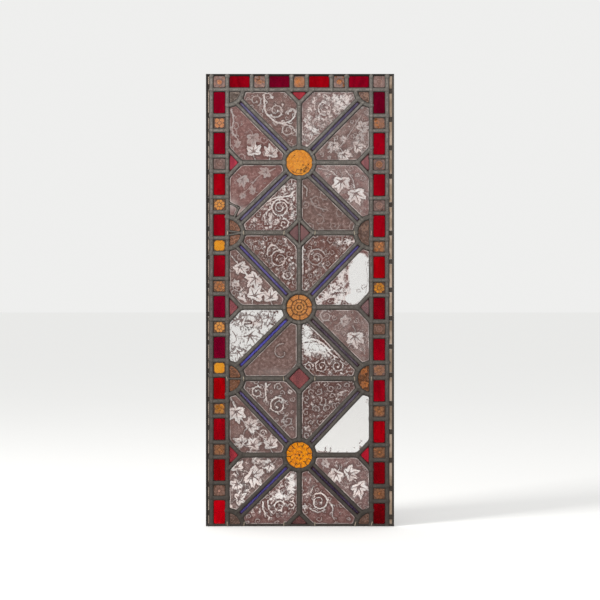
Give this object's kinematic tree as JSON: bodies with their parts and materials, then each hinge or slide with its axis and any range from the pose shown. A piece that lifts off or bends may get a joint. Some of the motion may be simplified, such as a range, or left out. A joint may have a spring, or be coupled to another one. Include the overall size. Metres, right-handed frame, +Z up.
{
  "type": "leaded stained glass window panel",
  "caption": "Tall leaded glass panel: painted vine-leaf quarries round amber roundels, blue diagonals, border of red oblongs and amber squares.",
  "frame": {"origin": "middle of the panel's sill edge, half way through its depth", "axes": "+X along the sill to the viewer's right, -Y out of the front face with the tie stubs, +Z up the panel"},
  "size_m": [0.395, 0.0088, 0.949],
  "materials": {
    "lead": "dull grey patina, rubbed paler on the crowns",
    "painted_glass": "clear glass with fired brown paint, worn",
    "amber_glass": "silver-stained amber, brown painted rosettes",
    "blue_glass": "pot-metal blue, hazy",
    "red_glass": "flashed ruby",
    "brown_glass": "warm brown, painted and worn"
  },
  "bodies": {
    "root": {"blue_strip_bottom_left_low": "blue_glass", "blue_strip_bottom_left_top": "blue_glass", "blue_strip_bottom_right_low": "blue_glass", "blue_strip_bottom_right_top": "blue_glass", "blue_strip_middle_left_low": "blue_glass", "blue_strip_middle_left_top": "blue_glass", "blue_strip_middle_right_low": "blue_glass", "blue_strip_middle_right_top": "blue_glass", "blue_strip_top_left_low": "blue_glass", "blue_strip_top_left_top": "blue_glass", "blue_strip_top_right_low": "blue_glass", "blue_strip_top_right_top": "blue_glass", "border_glass_left": "red_glass", "border_glass_right": "red_glass", "boss_head_left": "brown_glass", "boss_head_right": "brown_glass", "boss_lower_row_left": "brown_glass", "boss_lower_row_right": "brown_glass", "boss_sill_left": "brown_glass", "boss_sill_right": "brown_glass", "boss_upper_row_left": "brown_glass", "boss_upper_row_right": "brown_glass", "lead_came_net": "lead", "quarry_bottom_above_left": "painted_glass", "quarry_bottom_above_right": "painted_glass", "quarry_bottom_below_left": "painted_glass", "quarry_bottom_below_right": "painted_glass", "quarry_bottom_left_lower": "painted_glass", "quarry_bottom_left_upper": "painted_glass", "quarry_bottom_right_lower": "painted_glass", "quarry_bottom_right_upper": "painted_glass", "quarry_middle_above_left": "painted_glass", "quarry_middle_above_right": "painted_glass", "quarry_middle_below_left": "painted_glass", "quarry_middle_below_right": "painted_glass", "quarry_middle_left_lower": "painted_glass", "quarry_middle_left_upper": "painted_glass", "quarry_middle_right_lower": "painted_glass", "quarry_middle_right_upper": "painted_glass", "quarry_top_above_left": "painted_glass", "quarry_top_above_right": "painted_glass", "quarry_top_below_left": "painted_glass", "quarry_top_below_right": "painted_glass", "quarry_top_left_lower": "painted_glass", "quarry_top_left_upper": "painted_glass", "quarry_top_right_lower": "painted_glass", "quarry_top_right_upper": "painted_glass", "red_lozenge_head": "red_glass", "red_lozenge_lower_row": "red_glass", "red_lozenge_sill": "red_glass", "red_lozenge_upper_row": "red_glass", "red_triangle_bottom_left": "red_glass", "red_triangle_bottom_right": "red_glass", "red_triangle_middle_left": "red_glass", "red_triangle_middle_right": "red_glass", "red_triangle_top_left": "red_glass", "red_triangle_top_right": "red_glass", "roundel_bottom": "amber_glass", "roundel_middle": "amber_glass", "roundel_top": "amber_glass"}
  },
  "joints": []
}
